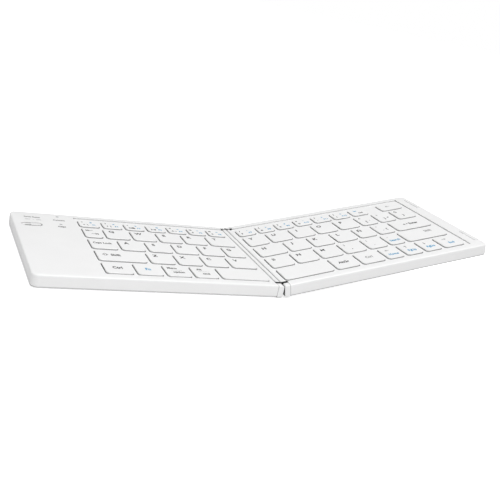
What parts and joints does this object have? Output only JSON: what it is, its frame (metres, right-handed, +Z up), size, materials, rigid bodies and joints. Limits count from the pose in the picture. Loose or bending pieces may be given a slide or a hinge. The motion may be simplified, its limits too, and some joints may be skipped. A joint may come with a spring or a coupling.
{
  "type": "folding keyboard",
  "caption": "Slim two-half keyboard that folds shut on a pair of double-pin end hinges, with low keys, a slide switch and rubber feet.",
  "frame": {"origin": "on the table surface, under the middle of the outline of the partly opened keyboard", "axes": "+X along the key rows towards the raised right half, +Y away from the user, +Z up from the table"},
  "size_m": [0.2828, 0.1012, 0.0436],
  "materials": {
    "housing": "smooth satin white moulding",
    "keycap": "satin white moulding with printed legends",
    "bottom_cover": "fine-textured white moulding",
    "hinge_cap": "smooth white moulding",
    "hinge_steel": "dark blackened steel plate",
    "pin_steel": "ground steel",
    "switch": "light grey moulding with grip ribs",
    "light_pipe": "milky clear moulding",
    "battery_foil": "laminated foil pouch",
    "board": "green solder mask",
    "socket_steel": "plated steel shell",
    "support_plate": "pressed sheet with guide sleeves",
    "membrane": "clear film",
    "foot_rubber": "light grey matt rubber",
    "pad_rubber": "pale grey matt rubber",
    "screw_steel": "plated steel"
  },
  "bodies": {
    "left_half": {"left_top_cover": "housing", "left_bottom_cover": "bottom_cover", "hinge_end_caps_left": "hinge_cap", "lamp_light_pipes": "light_pipe", "battery": "battery_foil", "circuit_board": "board", "charging_socket": "socket_steel", "left_key_plate": "support_plate", "left_membrane": "membrane", "rubber_feet_left": "foot_rubber", "screws_left": "screw_steel"},
    "right_half": {"right_top_cover": "housing", "right_bottom_cover": "bottom_cover", "hinge_end_caps_right": "hinge_cap", "right_key_plate": "support_plate", "right_membrane": "membrane", "rubber_feet_right": "foot_rubber", "closing_pads": "pad_rubber", "screws_right": "screw_steel"},
    "hinge_link": {"hinge_links": "hinge_steel", "hinge_pins": "pin_steel"},
    "switch_knob": {"switch_knob": "switch"},
    "key_q": {"key_q": "keycap"},
    "key_w": {"key_w": "keycap"},
    "key_e": {"key_e": "keycap"},
    "key_r": {"key_r": "keycap"},
    "key_t": {"key_t": "keycap"},
    "key_a": {"key_a": "keycap"},
    "key_s": {"key_s": "keycap"},
    "key_d": {"key_d": "keycap"},
    "key_f": {"key_f": "keycap"},
    "key_g": {"key_g": "keycap"},
    "key_z": {"key_z": "keycap"},
    "key_x": {"key_x": "keycap"},
    "key_c": {"key_c": "keycap"},
    "key_v": {"key_v": "keycap"},
    "key_space_left": {"key_space_left": "keycap"},
    "keys_number_left": {"keys_number_left": "keycap"},
    "keys_modifier_left": {"keys_modifier_left": "keycap"},
    "key_y": {"key_y": "keycap"},
    "key_u": {"key_u": "keycap"},
    "key_i": {"key_i": "keycap"},
    "key_o": {"key_o": "keycap"},
    "key_p": {"key_p": "keycap"},
    "key_h": {"key_h": "keycap"},
    "key_j": {"key_j": "keycap"},
    "key_k": {"key_k": "keycap"},
    "key_l": {"key_l": "keycap"},
    "key_n_tilde": {"key_n_tilde": "keycap"},
    "key_b": {"key_b": "keycap"},
    "key_n": {"key_n": "keycap"},
    "key_m": {"key_m": "keycap"},
    "key_comma": {"key_comma": "keycap"},
    "key_space_right": {"key_space_right": "keycap"},
    "keys_number_right": {"keys_number_right": "keycap"},
    "keys_symbol_right": {"keys_symbol_right": "keycap"},
    "keys_modifier_right": {"keys_modifier_right": "keycap"},
    "keys_arrow": {"keys_arrow": "keycap"}
  },
  "joints": [
    {"name": "left_fold", "type": "hinge", "parent": "left_half", "child": "hinge_link", "pos_m": [0.00031, 0, 0.007], "axis": [0, -1, 0], "range_deg": [-7.2, 82.8]},
    {"name": "right_fold", "type": "hinge", "parent": "hinge_link", "child": "right_half", "pos_m": [0.00279, 0, 0.00731], "axis": [0, -1, 0], "range_deg": [-7.2, 82.8]},
    {"name": "switch_slide", "type": "slide", "parent": "left_half", "child": "switch_knob", "axis": [-1, 0, 0], "range_m": [0, 0.0044]},
    {"name": "key_q_press", "type": "slide", "parent": "left_half", "child": "key_q", "axis": [0, 0, -1], "range_m": [0, 0.0012], "stiffness_N_per_m": 300, "springref_m": -0.0005},
    {"name": "key_w_press", "type": "slide", "parent": "left_half", "child": "key_w", "axis": [0, 0, -1], "range_m": [0, 0.0012], "stiffness_N_per_m": 300, "springref_m": -0.0005},
    {"name": "key_e_press", "type": "slide", "parent": "left_half", "child": "key_e", "axis": [0, 0, -1], "range_m": [0, 0.0012], "stiffness_N_per_m": 300, "springref_m": -0.0005},
    {"name": "key_r_press", "type": "slide", "parent": "left_half", "child": "key_r", "axis": [0, 0, -1], "range_m": [0, 0.0012], "stiffness_N_per_m": 300, "springref_m": -0.0005},
    {"name": "key_t_press", "type": "slide", "parent": "left_half", "child": "key_t", "axis": [0, 0, -1], "range_m": [0, 0.0012], "stiffness_N_per_m": 300, "springref_m": -0.0005},
    {"name": "key_a_press", "type": "slide", "parent": "left_half", "child": "key_a", "axis": [0, 0, -1], "range_m": [0, 0.0012], "stiffness_N_per_m": 300, "springref_m": -0.0005},
    {"name": "key_s_press", "type": "slide", "parent": "left_half", "child": "key_s", "axis": [0, 0, -1], "range_m": [0, 0.0012], "stiffness_N_per_m": 300, "springref_m": -0.0005},
    {"name": "key_d_press", "type": "slide", "parent": "left_half", "child": "key_d", "axis": [0, 0, -1], "range_m": [0, 0.0012], "stiffness_N_per_m": 300, "springref_m": -0.0005},
    {"name": "key_f_press", "type": "slide", "parent": "left_half", "child": "key_f", "axis": [0, 0, -1], "range_m": [0, 0.0012], "stiffness_N_per_m": 300, "springref_m": -0.0005},
    {"name": "key_g_press", "type": "slide", "parent": "left_half", "child": "key_g", "axis": [0, 0, -1], "range_m": [0, 0.0012], "stiffness_N_per_m": 300, "springref_m": -0.0005},
    {"name": "key_z_press", "type": "slide", "parent": "left_half", "child": "key_z", "axis": [0, 0, -1], "range_m": [0, 0.0012], "stiffness_N_per_m": 300, "springref_m": -0.0005},
    {"name": "key_x_press", "type": "slide", "parent": "left_half", "child": "key_x", "axis": [0, 0, -1], "range_m": [0, 0.0012], "stiffness_N_per_m": 300, "springref_m": -0.0005},
    {"name": "key_c_press", "type": "slide", "parent": "left_half", "child": "key_c", "axis": [0, 0, -1], "range_m": [0, 0.0012], "stiffness_N_per_m": 300, "springref_m": -0.0005},
    {"name": "key_v_press", "type": "slide", "parent": "left_half", "child": "key_v", "axis": [0, 0, -1], "range_m": [0, 0.0012], "stiffness_N_per_m": 300, "springref_m": -0.0005},
    {"name": "key_space_left_press", "type": "slide", "parent": "left_half", "child": "key_space_left", "axis": [0, 0, -1], "range_m": [0, 0.0012], "stiffness_N_per_m": 300, "springref_m": -0.0005},
    {"name": "keys_number_left_press", "type": "slide", "parent": "left_half", "child": "keys_number_left", "axis": [0, 0, -1], "range_m": [0, 0.0012], "stiffness_N_per_m": 300, "springref_m": -0.0005},
    {"name": "keys_modifier_left_press", "type": "slide", "parent": "left_half", "child": "keys_modifier_left", "axis": [0, 0, -1], "range_m": [0, 0.0012], "stiffness_N_per_m": 300, "springref_m": -0.0005},
    {"name": "key_y_press", "type": "slide", "parent": "right_half", "child": "key_y", "axis": [0.2487, 0, -0.9686], "range_m": [0, 0.0012], "stiffness_N_per_m": 300, "springref_m": -0.0005},
    {"name": "key_u_press", "type": "slide", "parent": "right_half", "child": "key_u", "axis": [0.2487, 0, -0.9686], "range_m": [0, 0.0012], "stiffness_N_per_m": 300, "springref_m": -0.0005},
    {"name": "key_i_press", "type": "slide", "parent": "right_half", "child": "key_i", "axis": [0.2487, 0, -0.9686], "range_m": [0, 0.0012], "stiffness_N_per_m": 300, "springref_m": -0.0005},
    {"name": "key_o_press", "type": "slide", "parent": "right_half", "child": "key_o", "axis": [0.2487, 0, -0.9686], "range_m": [0, 0.0012], "stiffness_N_per_m": 300, "springref_m": -0.0005},
    {"name": "key_p_press", "type": "slide", "parent": "right_half", "child": "key_p", "axis": [0.2487, 0, -0.9686], "range_m": [0, 0.0012], "stiffness_N_per_m": 300, "springref_m": -0.0005},
    {"name": "key_h_press", "type": "slide", "parent": "right_half", "child": "key_h", "axis": [0.2487, 0, -0.9686], "range_m": [0, 0.0012], "stiffness_N_per_m": 300, "springref_m": -0.0005},
    {"name": "key_j_press", "type": "slide", "parent": "right_half", "child": "key_j", "axis": [0.2487, 0, -0.9686], "range_m": [0, 0.0012], "stiffness_N_per_m": 300, "springref_m": -0.0005},
    {"name": "key_k_press", "type": "slide", "parent": "right_half", "child": "key_k", "axis": [0.2487, 0, -0.9686], "range_m": [0, 0.0012], "stiffness_N_per_m": 300, "springref_m": -0.0005},
    {"name": "key_l_press", "type": "slide", "parent": "right_half", "child": "key_l", "axis": [0.2487, 0, -0.9686], "range_m": [0, 0.0012], "stiffness_N_per_m": 300, "springref_m": -0.0005},
    {"name": "key_n_tilde_press", "type": "slide", "parent": "right_half", "child": "key_n_tilde", "axis": [0.2487, 0, -0.9686], "range_m": [0, 0.0012], "stiffness_N_per_m": 300, "springref_m": -0.0005},
    {"name": "key_b_press", "type": "slide", "parent": "right_half", "child": "key_b", "axis": [0.2487, 0, -0.9686], "range_m": [0, 0.0012], "stiffness_N_per_m": 300, "springref_m": -0.0005},
    {"name": "key_n_press", "type": "slide", "parent": "right_half", "child": "key_n", "axis": [0.2487, 0, -0.9686], "range_m": [0, 0.0012], "stiffness_N_per_m": 300, "springref_m": -0.0005},
    {"name": "key_m_press", "type": "slide", "parent": "right_half", "child": "key_m", "axis": [0.2487, 0, -0.9686], "range_m": [0, 0.0012], "stiffness_N_per_m": 300, "springref_m": -0.0005},
    {"name": "key_comma_press", "type": "slide", "parent": "right_half", "child": "key_comma", "axis": [0.2487, 0, -0.9686], "range_m": [0, 0.0012], "stiffness_N_per_m": 300, "springref_m": -0.0005},
    {"name": "key_space_right_press", "type": "slide", "parent": "right_half", "child": "key_space_right", "axis": [0.2487, 0, -0.9686], "range_m": [0, 0.0012], "stiffness_N_per_m": 300, "springref_m": -0.0005},
    {"name": "keys_number_right_press", "type": "slide", "parent": "right_half", "child": "keys_number_right", "axis": [0.2487, 0, -0.9686], "range_m": [0, 0.0012], "stiffness_N_per_m": 300, "springref_m": -0.0005},
    {"name": "keys_symbol_right_press", "type": "slide", "parent": "right_half", "child": "keys_symbol_right", "axis": [0.2487, 0, -0.9686], "range_m": [0, 0.0012], "stiffness_N_per_m": 300, "springref_m": -0.0005},
    {"name": "keys_modifier_right_press", "type": "slide", "parent": "right_half", "child": "keys_modifier_right", "axis": [0.2487, 0, -0.9686], "range_m": [0, 0.0012], "stiffness_N_per_m": 300, "springref_m": -0.0005},
    {"name": "keys_arrow_press", "type": "slide", "parent": "right_half", "child": "keys_arrow", "axis": [0.2487, 0, -0.9686], "range_m": [0, 0.0012], "stiffness_N_per_m": 300, "springref_m": -0.0005}
  ]
}
